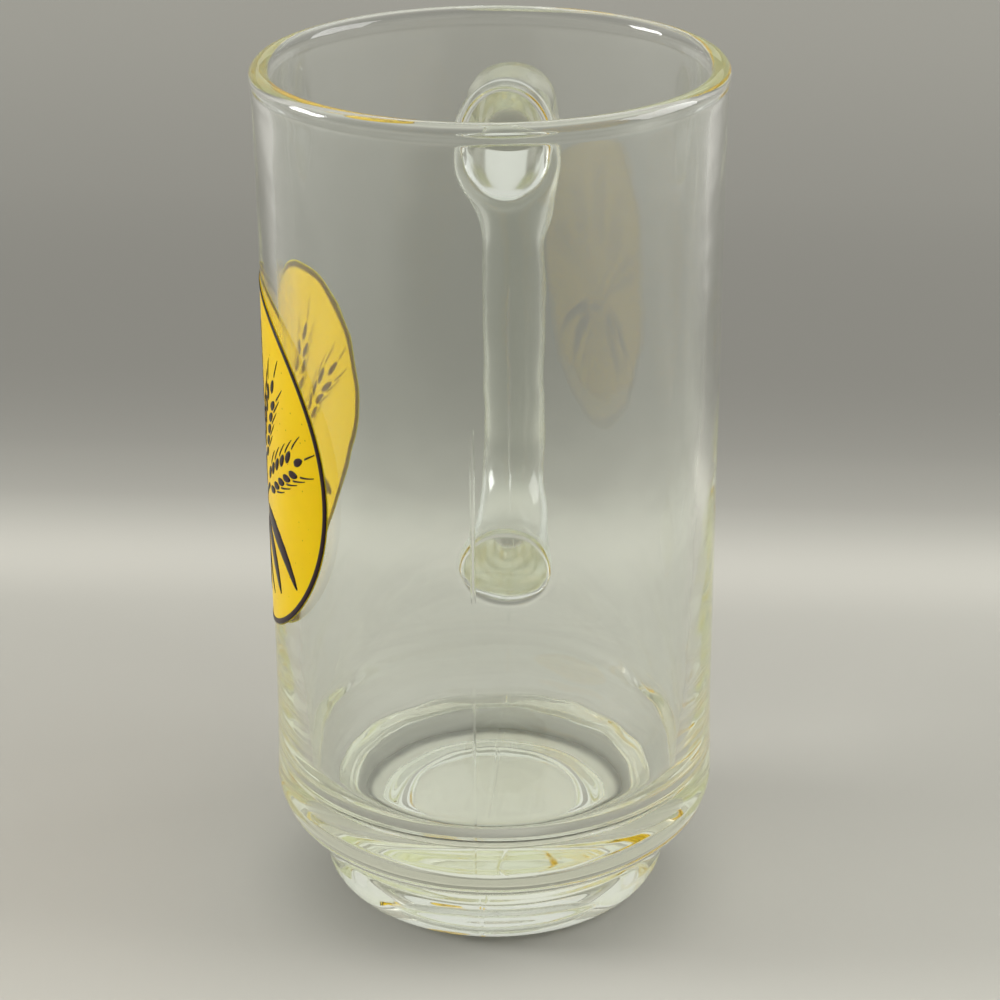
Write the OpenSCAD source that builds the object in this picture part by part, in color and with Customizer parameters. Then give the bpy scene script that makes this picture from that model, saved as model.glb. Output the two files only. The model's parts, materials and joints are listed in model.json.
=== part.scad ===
// A half-litre beer mug of pressed soda glass. It stands on a stacking foot that is narrower than
// the mouth, and carries a solid glass handle that was fused on while hot. A round badge is fired
// onto the wall about a quarter turn from the handle: a yellow ground, a dark border and a barley
// sheaf.
// The origin is on the axis of the mug, in the plane that it stands on. +Z is up, the handle is at
// +Y and the badge is at -X.

/* [Wall] */
// Outer diameter of the straight stretch of the wall
wall_d = 78.8; // [72:0.2:88]
// Thickness of the wall
wall_t = 3; // [2.4:0.1:3.4]
// Height of the whole mug, from the table to the top of the rim
mug_h = 153; // [144:1:170]
// How far the wall opens outwards from its straight stretch up to the rim
mouth_flare = 0.4; // [0:0.1:1]
// Height over which the wall opens towards the rim
mouth_h = 34; // [20:1:34]
// How far the wall swells outwards just above the lower corner
heel_swell = 0.4; // [0:0.1:1]
// Height over which the wall swells above the lower corner
swell_h = 20; // [10:1:20]
// Rounding of the lower outside corner of the wall
heel_r = 9.7; // [5:0.1:11]

/* [Rim] */
// Thickness of the fire-polished bead round the mouth
bead_t = 3.44; // [3.4:0.02:4.4]
// How far the bead stands out over the wall
bead_out = 0.2; // [0.1:0.05:0.6]
// Depth below the rim at which the bead has run out into the wall
bead_h = 3.6; // [3:0.1:6]

/* [Foot] */
// How far the side of the stacking foot is set in from the wall
foot_in = 6.6; // [5:0.1:9]
// Height of the foot, from the table to the underside of the body
foot_h = 12.2; // [8:0.1:14]
// How much the radius of the foot draws in from the body down to its rounded edge
foot_draw = 1.5; // [0:0.1:3]
// Rounding of the lower edge of the foot
foot_edge_r = 6; // [3:0.1:7]
// Width of the flat ring that the mug stands on
bearing_w = 3.2; // [2.4:0.1:6]
// Depth of the hollow under the foot
punt_h = 5.5; // [1:0.1:8]
// How much the radius of the hollow draws in from the table up to its ceiling
punt_draw = 7.5; // [2:0.1:10]

/* [Cavity] */
// Thickness of the base, from the table to the floor of the cavity
base_t = 20.5; // [16:0.5:24]
// Rounding between the floor and the wall of the cavity
floor_r = 11; // [4:0.1:14]
// How much thicker the wall is just above that rounding than half way up
draft = 1.6; // [0:0.1:2.4]
// Height above the table below which the wall thickens
draft_h = 90; // [60:1:110]

/* [Handle] */
// Distance from the rim down to the middle of the upper root
root_drop = 25.6; // [20:0.2:32]
// Height of the middle of the lower root above the table
root_low_z = 41.5; // [36:0.5:54]
// Clear gap for the fingers, between the wall and the grip at its widest
finger_gap = 25.5; // [22:0.5:34]
// Thickness of the grip, measured away from the wall
grip_t = 11.6; // [9:0.1:15]
// Width of the grip
grip_w = 13.6; // [11:0.1:17]
// Width of the upper root on the wall
root_w = 15; // [12:0.1:22]
// Height of the upper root on the wall
root_h = 19; // [16:0.1:26]
// Width of the lower root on the wall
root_low_w = 17.4; // [14:0.1:22]
// Height of the lower root on the wall
root_low_h = 13; // [11:0.1:22]
// Length over which the height of the upper root tapers into the grip
taper_l = 38; // [20:1:44]
// Length over which the height of the lower root tapers into the grip
taper_low_l = 8; // [4:1:30]
// Width of the shoulder, where the handle is widest at its upper bend
shoulder_w = 18.8; // [14:0.1:22]
// Length from the upper root to the shoulder, along the middle of the handle
shoulder_l = 44; // [20:1:48]
// Length over which the handle narrows from its shoulder to the grip
narrow_l = 15; // [8:1:24]
// Length over which the lower arm keeps the width of its root
low_arm_l = 8; // [2:1:16]
// Length over which the lower arm then narrows to the grip
narrow_low_l = 26; // [10:1:28]
// How far the corner above the upper bend lies above the upper root
arm_rise = 7; // [0:0.5:9]
// How far the corner below the lower bend lies below the lower root
arm_dip = 1; // [0:0.5:5]
// Radius of the upper bend, along the middle of the arm
bend_r = 13; // [11:0.5:17]
// Radius of the lower bend, along the middle of the arm
bend_low_r = 17; // [12:0.5:20]
// How much the grip leans in towards the wall from top to bottom
grip_lean = 3; // [0:0.5:6]

/* [Badge] */
// Width of the badge, measured round the wall
badge_w = 64.5; // [60:0.5:74]
// Height of the badge
badge_h = 64.5; // [60:0.5:74]
// Height of the middle of the badge above the table
badge_z = 84.6; // [76:0.2:90]
// How many degrees further than a quarter turn from the handle the badge stands
badge_turn = 3; // [-10:1:10]
// Thickness of the yellow enamel
ground_t = 0.12; // [0.08:0.01:0.3]
// Thickness of the dark enamel that lies on the yellow
ink_t = 0.1; // [0.06:0.01:0.3]
// Width of the dark border
border_w = 1; // [0.8:0.1:3]
// Bare yellow margin outside the dark border
margin_w = 0.2; // [0.2:0.1:1.5]

/* [Sheaf] */
// Number of barley ears in the sheaf
ears = 5; // [3:2:5]
// Angle over which the ears fan out
fan = 122; // [100:2:124]
// Distance along the straw from the tie to the foot of the middle ear
ear_start = 14; // [12:0.5:17]
// Length of an ear
ear_l = 18.5; // [17:0.5:21]
// Pairs of grains in an ear
grain_pairs = 5; // [3:1:5]
// Length of a grain
grain_l = 3.4; // [2.8:0.1:3.6]
// Width of a grain
grain_w = 1.5; // [1.2:0.1:1.6]
// Angle at which the grains stand off the ear
grain_tilt = 22; // [18:1:24]
// Length of an awn
awn_l = 5; // [3:0.5:6]
// Width of an awn at its foot
awn_w = 0.4; // [0.3:0.05:0.5]
// Width of a straw
straw_w = 0.9; // [0.6:0.1:1.2]
// Length of the cut straw below the tie
straw_l = 17.5; // [12:0.5:20]
// Length of an upper leaf
leaf_l = 22; // [18:0.5:23]
// Width of a leaf
leaf_w = 3.9; // [2.5:0.1:4.6]
// How far the tie sits below the middle of the badge
tie_drop = 9.5; // [8:0.5:12]
// Width of the tie
tie_w = 8.5; // [7:0.5:12]
// Height of the tie
tie_h = 2.6; // [1.8:0.1:3.4]
// Gap of bare yellow between neighbouring marks
ink_gap = 0.4; // [0.3:0.05:0.6]

/* [Hidden] */

// Colours of the clear glass and of the two enamels
glass_colour = [0.80, 0.84, 0.72, 0.45];
yellow = [0.98, 0.76, 0.06];
dark = [0.13, 0.07, 0.09];

// Steps in one curved stretch of an outline, sides of a round, and sides and rings of the handle
curve_steps = 12;
round_sides = 144;
arm_sides = 28;
bend_steps = 12;
arm_steps = 5;
grip_steps = 16;

// How far a cut runs past the surface that it has to cross
overrun = 2;

wall_r = wall_d / 2;
heel_z = foot_h + heel_r;
swell_z = heel_z + swell_h;
floor_z = base_t + floor_r;
mouth_z = mug_h - mouth_h;
bead_z = mug_h - bead_h;
cavity_r = wall_r - wall_t;
foot_r = wall_r - foot_in;
foot_edge_x = foot_r - foot_draw;
punt_r = foot_edge_x - foot_edge_r - bearing_w;

// Outer radius of the wall at a height above the lower corner
function outer_r(z) =
    z > mouth_z ? wall_r + mouth_flare * pow((z - mouth_z) / mouth_h, 2)
    : z < swell_z ? wall_r + heel_swell * pow((swell_z - z) / swell_h, 2)
    : wall_r;

// Power with which the wall thickens on its way down to the rounded corner of the cavity
draft_power = 1.5;

// Radius of the cavity at a height above its rounded corner
function inner_r(z) =
    z > mouth_z ? cavity_r + mouth_flare * pow((z - mouth_z) / mouth_h, 2)
    : z < draft_h ? cavity_r - draft * pow((draft_h - z) / (draft_h - floor_z), draft_power)
    : cavity_r;

// A list of evenly spaced values from a to b, both ends included
function between(a, b, steps = curve_steps) = [for (i = [0:steps]) a + (b - a) * i / steps];

// Points on an arc round a centre
function arc(centre, r, from, to) = [for (a = between(from, to)) centre + r * [cos(a), sin(a)]];

// Turns a list round
function reversed(list) = [for (i = [len(list) - 1:-1:0]) list[i]];

// The heights at which the outlines of the wall and of the cavity have their points
wall_heights = concat(between(heel_z, swell_z), between(mouth_z, bead_z));
cavity_heights = concat(between(floor_z, draft_h), between(mouth_z, bead_z));

// Half outline of the body with the bead, as one solid lump without its cavity
module body_outline() {
    bead_r = bead_t / 2;
    bead_x = outer_r(mug_h) + bead_out - bead_r;
    heel_x = outer_r(heel_z) - heel_r;
    polygon(concat(
        [[0, foot_h]],
        arc([heel_x, heel_z], heel_r, -90, 0),
        [for (z = wall_heights) [outer_r(z), z]],
        arc([bead_x, mug_h - bead_r], bead_r, 0, 90),
        [[0, mug_h]]
    ));
}

// Half outline of the foot, which reaches up into the body
module foot_outline() {
    polygon(concat(
        [[0, 0]],
        arc([foot_edge_x - foot_edge_r, foot_edge_r], foot_edge_r, -90, 0),
        [[foot_r, foot_h], [foot_r, heel_z], [0, heel_z]]
    ));
}

// Half outline of the cavity, open at the mouth, where the bead stands in over the wall
module cavity_outline() {
    bead_r = bead_t / 2;
    bead_x = outer_r(mug_h) + bead_out - bead_r;
    polygon(concat(
        [[0, base_t]],
        arc([inner_r(floor_z) - floor_r, floor_z], floor_r, -90, 0),
        [for (z = cavity_heights) [inner_r(z), z]],
        arc([bead_x, mug_h - bead_r], bead_r, 180, 90),
        [[bead_x, mug_h + overrun], [0, mug_h + overrun]]
    ));
}

// Half outline of the hollow under the foot, whose side rises in an even wave
module punt_outline() {
    polygon(concat(
        [[0, -overrun], [punt_r, -overrun]],
        [for (t = between(0, 1)) [punt_r - punt_draw * t, punt_h * (1 - cos(180 * t)) / 2]],
        [[0, punt_h]]
    ));
}

module vessel() {
    color(glass_colour) rotate_extrude($fn = round_sides) difference() {
        union() {
            body_outline();
            foot_outline();
        }
        cavity_outline();
        punt_outline();
    }
}

// The middle of the handle is a line through these points, which the two bends round off. Points
// are [distance from the axis, height].
root_top = [wall_r, mug_h - root_drop];
root_low = [wall_r, root_low_z];
grip_y = wall_r + finger_gap + grip_t / 2;
corner_top = [grip_y, root_top[1] + arm_rise];
corner_low = [grip_y - grip_lean, root_low_z - arm_dip];

function unit(v) = v / norm(v);
function heading(v) = atan2(v[1], v[0]);

// The rounded bend at corner c on the way from a to b, as stations of [point, heading]
function bend(a, c, b, r) =
    let (h0 = heading(c - a), turn = (h0 - heading(b - c) + 360) % 360,
         start = c - unit(c - a) * r * tan(turn / 2),
         centre = start + r * [sin(h0), -cos(h0)])
    [for (h = between(h0, h0 - turn, bend_steps)) [centre + r * [-sin(h), cos(h)], h]];

// Stations on the straight way from one point to another, without its ends
function way(p, q, h, steps) = [for (i = [1:steps - 1]) [p + (q - p) * i / steps, h]];

// The handle starts and ends inside the wall, so deep that its slanting ends are buried there
bend_top = bend(root_top, corner_top, corner_low, bend_r);
bend_low = bend(corner_top, corner_low, root_low, bend_low_r);
into_top = unit(corner_top - root_top);
into_low = unit(corner_low - root_low);
h_top = bend_top[0][1];
h_grip = bend_top[bend_steps][1];
h_low = bend_low[bend_steps][1];
stations = concat(
    [[root_top - into_top * root_h / 2, h_top], [root_top, h_top]],
    way(root_top, bend_top[0][0], h_top, arm_steps), bend_top,
    way(bend_top[bend_steps][0], bend_low[0][0], h_grip, grip_steps), bend_low,
    way(bend_low[bend_steps][0], root_low, h_low, arm_steps),
    [[root_low, h_low], [root_low - into_low * root_low_h / 2, h_low]]
);

// How far along the middle line each station lies
last = len(stations) - 1;
runs = [for (i = 0, run = 0; i <= last;
             i = i + 1, run = i <= last ? run + norm(stations[i][0] - stations[i - 1][0]) : run) run];

// How much of a root's height is left at a distance from it
function taper(d, l) = pow(1 - min(max(d, 0) / l, 1), 2);

// A smooth step from 0 to 1 over a length
function ease(d, l) = (1 - cos(180 * min(max(d, 0) / l, 1))) / 2;

// Width of the handle at a distance from its upper root, and how much wider it is at a distance
// from its lower root
function upper_w(d) =
    d < shoulder_l ? root_w + (shoulder_w - root_w) * ease(d, shoulder_l)
    : shoulder_w + (grip_w - shoulder_w) * ease(d - shoulder_l, narrow_l);
function lower_w(d) = (root_low_w - grip_w) * (1 - ease(d - low_arm_l, narrow_low_l));

// One ring of the handle round a station. Its section is an ellipse.
function ring(i) =
    let (s = stations[i], d = runs[i] - runs[1], d_low = runs[last - 1] - runs[i],
         half_w = (upper_w(d) + lower_w(d_low)) / 2,
         half_t = (grip_t + (root_h - grip_t) * taper(d, taper_l)
             + (root_low_h - grip_t) * taper(d_low, taper_low_l)) / 2)
    [for (k = [0:arm_sides - 1])
        let (a = 360 * k / arm_sides, out = half_t * sin(a))
        [half_w * cos(a), s[0][0] - sin(s[1]) * out, s[0][1] + cos(s[1]) * out]];

// A closed skin over rings of points that follow one another
module sweep(rings) {
    n = len(rings[0]);
    m = len(rings);
    polyhedron(
        points = [for (r = rings) each r],
        faces = concat(
            [for (j = [0:m - 2], i = [0:n - 1])
                [j * n + i, j * n + (i + 1) % n, (j + 1) * n + i]],
            [for (j = [0:m - 2], i = [0:n - 1])
                [j * n + (i + 1) % n, (j + 1) * n + (i + 1) % n, (j + 1) * n + i]],
            [[for (i = [n - 1:-1:0]) i]],
            [[for (i = [0:n - 1]) (m - 1) * n + i]]
        )
    );
}

module handle() {
    color(glass_colour) difference() {
        sweep([for (i = [0:last]) ring(i)]);
        rotate_extrude($fn = round_sides) union() {
            body_outline();
            foot_outline();
        }
    }
}

// Where a point of the unrolled badge lies when the round wall is looked at straight on
function laid(p) = [wall_r * sin(p[0] / wall_r * 180 / PI), badge_z + p[1]];

// A flat patch of the badge, drawn through points that are measured on the unrolled wall
module patch(points) polygon([for (p = points) laid(p)]);

// A thin coat on the badge side of the wall, from one distance above the glass to another. Its
// outline is the flat drawing that it is given, carried straight in along X and turned with the
// badge.
module coat(low, high) {
    reach = wall_r + mouth_flare + heel_swell + overrun;
    intersection() {
        rotate_extrude($fn = round_sides) polygon(concat(
            [for (z = wall_heights) [outer_r(z) + low, z]],
            reversed([for (z = wall_heights) [outer_r(z) + high, z]])
        ));
        rotate(badge_turn) translate([-reach, 0, 0]) rotate([90, 0, 90])
            linear_extrude(reach) children();
    }
}

// The round of the badge, drawn in from its edge
function badge_round(inset) =
    [for (i = [0:round_sides - 1])
        let (a = 360 * i / round_sides)
        [(badge_w / 2 - inset) * cos(a), (badge_h / 2 - inset) * sin(a)]];

module badge_ground() {
    color(yellow) coat(0, ground_t) patch(badge_round(0));
}

module badge_border() {
    color(dark) coat(ground_t, ground_t + ink_t) difference() {
        patch(badge_round(margin_w));
        patch(badge_round(margin_w + border_w));
    }
}

// Dark marks on the yellow, trimmed clear of the border
module sheaf_ink() {
    color(dark) coat(ground_t, ground_t + ink_t) intersection() {
        patch(badge_round(margin_w + border_w + ink_gap));
        union() children();
    }
}

// A bent line is [start, first heading, last heading, length]. Headings are measured from
// straight up towards the right, and the bend is even. This is the point at distance s along it,
// moved off it to the right.
function on_line(line, s, off = 0) =
    let (h0 = line[1], k = (line[2] - line[1]) / line[3], h = h0 + k * s,
         p = abs(k) < tiny_bend ? s * [sin(h0), cos(h0)]
             : 180 / PI / k * [cos(h0) - cos(h), sin(h) - sin(h0)])
    line[0] + p + off * [cos(h), -sin(h)];

function heading_at(line, s) = line[1] + (line[2] - line[1]) * s / line[3];

// A mark along a bent line from one distance to another. The shares give its half width along it.
module stroke(line, from, to, width, shares) {
    n = len(shares) - 1;
    patch(concat(
        [for (i = [0:n]) on_line(line, from + (to - from) * i / n, width / 2 * shares[i])],
        [for (i = [n:-1:0]) on_line(line, from + (to - from) * i / n, -width / 2 * shares[i])]
    ));
}

even_shares = [1, 1, 1, 1, 1];
awn_shares = [1, 0.85, 0.7, 0.5, 0.3];
grain_shares = [0.3, 0.72, 0.95, 1, 0.96, 0.82, 0.58, 0.14];
leaf_shares = [0.25, 0.62, 0.9, 1, 0.97, 0.86, 0.68, 0.45, 0.1];

// Share of an ear's lean that its straw already has at the tie, how much shorter the straw of the
// outermost ear is, and how far each awn bends back towards its ear
lean_share = 0.82;
short_share = 0.3;
awn_share = 0.5;

function lean(i) = fan * (i / (ears - 1) - 1 / 2);
function straw_x(i) = (i - (ears - 1) / 2) * (straw_w + ink_gap);
function start_l(i) = ear_start * (1 - short_share * abs(lean(i)) / (fan / 2));
function ear_line(i) =
    [[straw_x(i), -tie_drop], lean(i) * lean_share, lean(i), start_l(i) + ear_l];
function cut_line(i) =
    [[straw_x(i), -tie_drop], 180 - lean(i) * cut_share, 180 - lean(i) * cut_end_share, straw_l];

// Shares of an ear's lean that the cut straw has at the tie and at its end
cut_share = 0.3;
cut_end_share = 0.6;

// The straight line of one grain: side is 1 or -1 for the pairs and 0 for the grain at the tip
function grain_line(i, j, side) =
    let (line = ear_line(i), s = start_l(i) + j * (ear_l - grain_l) / grain_pairs,
         h = heading_at(line, s) + side * grain_tilt)
    [on_line(line, s, side * (ink_gap + grain_w) / 2), h, h, grain_l];

// The line of the awn that grows out of a grain's tip
function awn_line(grain, side, l) =
    [on_line(grain, grain_l + ink_gap), grain[1], grain[1] - side * grain_tilt * awn_share, l];

grain_places = concat(
    [for (i = [0:ears - 1], j = [0:grain_pairs - 1], side = [-1, 1]) [i, j, side]],
    [for (i = [0:ears - 1]) [i, grain_pairs, 0]]
);

module sheaf_grains() {
    sheaf_ink() for (g = grain_places)
        stroke(grain_line(g[0], g[1], g[2]), 0, grain_l, grain_w, grain_shares);
}

module sheaf_awns() {
    sheaf_ink() for (g = grain_places) {
        line = awn_line(grain_line(g[0], g[1], g[2]), g[2], awn_l);
        stroke(line, 0, awn_l, awn_w, awn_shares);
    }
}

module sheaf_straw() {
    clear_of_tie = tie_h / 2 + ink_gap + straw_w / 2;
    sheaf_ink() for (i = [0:ears - 1]) {
        stroke(ear_line(i), clear_of_tie, start_l(i) - ink_gap, straw_w, even_shares);
        stroke(cut_line(i), clear_of_tie, straw_l, straw_w, even_shares);
    }
}

// Headings of the two leaves on one side, at the tie and at the tip. The upper one arches out and
// the lower one hangs, and is shorter by this share.
upper_leaf_turn = [90, 146];
lower_leaf_turn = [119, 156];
lower_leaf_share = 0.76;

module sheaf_leaves() {
    out = tie_w / 2;
    sheaf_ink() for (side = [-1, 1]) {
        upper = concat([[side * out, -tie_drop]], side * upper_leaf_turn, [leaf_l]);
        lower = concat([[side * out, -tie_drop - tie_h / 2]], side * lower_leaf_turn,
                       [leaf_l * lower_leaf_share]);
        for (leaf = [upper, lower]) stroke(leaf, ink_gap, leaf[3], leaf_w, leaf_shares);
    }
}

module sheaf_tie() {
    sheaf_ink() stroke([[-tie_w / 2, -tie_drop], 90, 90, tie_w], 0, tie_w, tie_h, tie_shares);
}
tie_shares = [0.7, 0.95, 1, 1, 1, 0.95, 0.7];

// A bend below this many degrees a millimetre counts as straight
tiny_bend = 0.001;

vessel();
handle();
badge_ground();
badge_border();
sheaf_grains();
sheaf_awns();
sheaf_straw();
sheaf_leaves();
sheaf_tie();
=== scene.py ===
# %% [markdown]
# # A pressed-glass beer mug
#
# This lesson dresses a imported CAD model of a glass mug. The CAD model holds the sizes: a vessel, a
# handle and a badge of fired enamel. Here the glass gets surfaces fine enough to bend light well,
# the enamel gets its sheaf of barley, and a studio floor, lamps and a camera are put round them.
#
# Everything is in metres, in the frame of the CAD model: the origin is on the axis of the mug in
# the plane that it stands on, +Z is up, the handle is at +Y and the badge is at -X.

# %% Load the frame
import json

import bmesh
import bpy
import numpy as np
from mathutils import Matrix, Vector

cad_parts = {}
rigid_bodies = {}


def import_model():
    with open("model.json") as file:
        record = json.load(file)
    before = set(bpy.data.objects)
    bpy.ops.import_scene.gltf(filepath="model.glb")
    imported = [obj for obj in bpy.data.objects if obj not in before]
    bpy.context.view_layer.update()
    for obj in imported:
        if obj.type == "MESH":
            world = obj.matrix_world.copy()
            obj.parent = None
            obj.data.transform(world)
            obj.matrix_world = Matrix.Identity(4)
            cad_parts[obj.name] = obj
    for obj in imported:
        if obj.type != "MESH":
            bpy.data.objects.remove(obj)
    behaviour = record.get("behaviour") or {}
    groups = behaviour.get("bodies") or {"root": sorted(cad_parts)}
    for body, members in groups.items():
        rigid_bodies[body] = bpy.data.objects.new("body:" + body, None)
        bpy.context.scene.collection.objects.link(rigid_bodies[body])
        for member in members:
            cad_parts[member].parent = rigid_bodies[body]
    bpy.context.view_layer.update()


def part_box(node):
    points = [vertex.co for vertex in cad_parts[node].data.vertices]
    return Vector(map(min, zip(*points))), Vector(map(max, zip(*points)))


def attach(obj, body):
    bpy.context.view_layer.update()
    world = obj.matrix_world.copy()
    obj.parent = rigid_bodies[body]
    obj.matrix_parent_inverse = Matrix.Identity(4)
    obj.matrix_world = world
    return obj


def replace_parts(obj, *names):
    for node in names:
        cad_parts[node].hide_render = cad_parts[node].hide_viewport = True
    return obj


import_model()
vessel_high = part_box("vessel")[1]

# %% [markdown]
# ## Sizes
#
# The height and the width over the rim come from the CAD model, so the mug can't drift from it.
# The other sizes repeat the CAD model's own, in millimetres turned into metres.

# %% Sizes of the glass
mm = 0.001
mug_h = vessel_high.z
rim_r = vessel_high.x
wall_r = 39.4 * mm
wall_t = 3.0 * mm
mouth_flare, mouth_h = 0.4 * mm, 34.0 * mm
heel_swell, swell_h = 0.4 * mm, 20.0 * mm
heel_r = 9.7 * mm
bead_t, bead_h = 3.44 * mm, 3.6 * mm
foot_r = 32.8 * mm
foot_h, foot_draw, foot_edge_r = 12.2 * mm, 1.5 * mm, 6.0 * mm
bearing_w, punt_h, punt_draw = 3.2 * mm, 5.5 * mm, 7.5 * mm
base_t, floor_r = 20.5 * mm, 11.0 * mm
draft, draft_z = 1.6 * mm, 90 * mm
floor_z = base_t + floor_r
crease_r = 1.0 * mm

heel_z = foot_h + heel_r
swell_z = heel_z + swell_h
mouth_z = mug_h - mouth_h
bead_z = mug_h - bead_h
foot_edge_x = foot_r - foot_draw
punt_r = foot_edge_x - foot_edge_r - bearing_w


def outer_r(z):
    """Outer radius of the wall at height z: a cylinder that opens as the square of the height
    above mouth_z, and swells as the square of the depth below swell_z."""
    z = np.asarray(z, float)
    opens = mouth_flare * (np.maximum(z - mouth_z, 0) / mouth_h) ** 2
    swells = heel_swell * (np.maximum(swell_z - z, 0) / swell_h) ** 2
    return wall_r + opens + swells


def inner_r(z):
    """Radius of the cavity at height z: it opens with the wall, and draws in as the power 1.5 of
    the depth below draft_z, as a plunger does that has to come out of the glass again."""
    opens = mouth_flare * (np.maximum(z - mouth_z, 0) / mouth_h) ** 2
    return wall_r - wall_t + opens - draft * (np.maximum(draft_z - z, 0) / (draft_z - floor_z)) ** 1.5


# %% [markdown]
# ## The outline of the glass
#
# A pressed mug is round, so one outline turned about the axis gives the whole vessel. It could be
# drawn by hand as a curve. Here it is a chain of arcs and straight runs, each with as many points
# as its curvature needs, because glass shows every flat spot as a broken highlight.

# %% Build the outline
def arc(cx, cz, radius, start, end, count):
    """Points on a circle round (cx, cz): centre + radius * (cos a, sin a), a in degrees."""
    a = np.radians(np.linspace(start, end, count))
    return np.stack([cx + radius * np.cos(a), cz + radius * np.sin(a)], 1)


def line(p, q, count):
    """Evenly spaced points from p to q, without the two ends."""
    t = np.linspace(0, 1, count + 2)[1:-1, None]
    return (1 - t) * np.array(p) + t * np.array(q)


def ease(t):
    """A smooth step from 0 to 1: half a cosine wave."""
    return (1 - np.cos(np.pi * t)) / 2


t = np.linspace(0, 1, 22)
punt = np.stack([punt_r - punt_draw * t, punt_h * ease(t)], 1)[::-1]
punt_floor = line((0, punt_h), punt[0], 8)
foot_edge = arc(foot_edge_x - foot_edge_r, foot_edge_r, foot_edge_r, -90, 0, 18)
bearing = line(punt[-1], foot_edge[0], 2)

heel_x = float(outer_r(heel_z)) - heel_r
crease_a = np.degrees(np.arccos((foot_r + crease_r - heel_x) / (heel_r + crease_r)))
crease_z = heel_z - (heel_r + crease_r) * np.sin(np.radians(crease_a))
crease = arc(foot_r + crease_r, crease_z, crease_r, 180, 180 - crease_a, 9)
foot_side = line(foot_edge[-1], crease[0], 6)
heel = arc(heel_x, heel_z, heel_r, -crease_a, 0, 26)[1:-1]

wall_rows = 112
wall_z = np.linspace(heel_z, bead_z, wall_rows)
outer_wall = np.stack([outer_r(wall_z), wall_z], 1)

bead_r = bead_t / 2
bead_x = rim_r - bead_r
bead = arc(bead_x, mug_h - bead_r, bead_r, 0, 180, 33)
t = np.linspace(0, 1, 7)[1:-1]
rise = np.stack([outer_wall[-1, 0] + (rim_r - outer_wall[-1, 0]) * ease(t),
                 bead_z + (bead[0, 1] - bead_z) * t], 1)
inner_top = float(inner_r(bead_z))
fall = np.stack([bead[-1, 0] + (inner_top - bead[-1, 0]) * ease(t),
                 bead[-1, 1] + (bead_z - bead[-1, 1]) * t], 1)

cavity_z = np.linspace(bead_z, floor_z, 56)
cavity_wall = np.stack([inner_r(cavity_z), cavity_z], 1)
corner = arc(inner_r(floor_z) - floor_r, floor_z, floor_r, 0, -90, 26)[1:]
floor = line(corner[-1], (0, base_t), 12)

below_wall = np.concatenate([punt_floor, punt, bearing, foot_edge, foot_side, crease, heel])
above_wall = np.concatenate([rise, bead, fall, cavity_wall, corner, floor])
outline = np.concatenate([below_wall, outer_wall, above_wall])
first_wall_row = len(below_wall)
print("points in the outline:", len(outline))

# %% [markdown]
# ## The turned body, with room for the handle
#
# Two solids that merely touch would trap a film of air, and light would bend at it twice. The real
# handle is fused on, so the wall and the handle here are one skin: the turned grid leaves out a
# rectangle of faces round each root, and the handle's own grid is sewn into the gap later.

# %% Turn the outline
columns = 240
root_cols, root_rows = 15, 16


def row_of_z(z):
    """The row of the wall that lies nearest to height z: the height over the heel in row steps."""
    return int(round((z - heel_z) / (wall_z[1] - wall_z[0])))


def grid_faces(rows, cols, wrap=True):
    """Four-cornered faces over rows x cols points that are numbered row by row. With wrap, the
    last column joins the first."""
    i, j = np.meshgrid(np.arange(rows - 1), np.arange(cols if wrap else cols - 1), indexing="ij")
    k = (j + 1) % cols
    return np.stack([i * cols + j, i * cols + k, (i + 1) * cols + k, (i + 1) * cols + j], -1)


def turned(profile, angles):
    """Points of a turned surface: x = r sin(angle), y = r cos(angle), z = z, row by row."""
    r, z = profile[:, :1], profile[:, 1:]
    return np.stack([r * np.sin(angles), r * np.cos(angles), z + 0 * angles], -1)


angles = np.radians(np.arange(columns) * 360 / columns)
root_drop, root_low_z = 25.6 * mm, 41.5 * mm
root_top_z = mug_h - root_drop
top_row, low_row = row_of_z(root_top_z), row_of_z(root_low_z)

body = turned(outline, angles)
faces = grid_faces(len(outline), columns)
keep = np.ones(faces.shape[:2], bool)
for row in (top_row, low_row):
    start = first_wall_row + row - root_rows
    keep[start:start + 2 * root_rows, :root_cols] = False
    keep[start:start + 2 * root_rows, -root_cols:] = False
body_faces = faces[keep]
print("faces in the turned body:", len(body_faces))

# %% [markdown]
# ## The handle
#
# The handle is a rod of glass bent into a D. Its middle line is straight, bent, straight, bent and
# straight again, and its section is an ellipse that grows towards the two roots. A tube along a
# curve could give that. A grid of lines that run the length of the handle is used, because each
# line can then be followed down to the wall and led into it on a small fillet.

# %% The handle's middle line and section
finger_gap, grip_t, grip_w = 25.5 * mm, 11.6 * mm, 13.6 * mm
root_w, root_h, taper_l = 15.0 * mm, 19.0 * mm, 38.0 * mm
root_low_w, root_low_h, taper_low_l = 17.4 * mm, 13.0 * mm, 8.0 * mm
shoulder_w, shoulder_l, narrow_l = 18.8 * mm, 44.0 * mm, 15.0 * mm
low_arm_l, narrow_low_l = 8.0 * mm, 26.0 * mm
arm_rise, arm_dip = 7.0 * mm, 1.0 * mm
bend_r, bend_low_r, grip_lean = 13.0 * mm, 17.0 * mm, 3.0 * mm

root_top = np.array([wall_r, root_top_z])
root_low = np.array([wall_r, root_low_z])
grip_y = wall_r + finger_gap + grip_t / 2
corner_top = np.array([grip_y, root_top_z + arm_rise])
corner_low = np.array([grip_y - grip_lean, root_low_z - arm_dip])


def unit(v):
    """The vector over its own length."""
    return v / np.linalg.norm(v)


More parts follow.
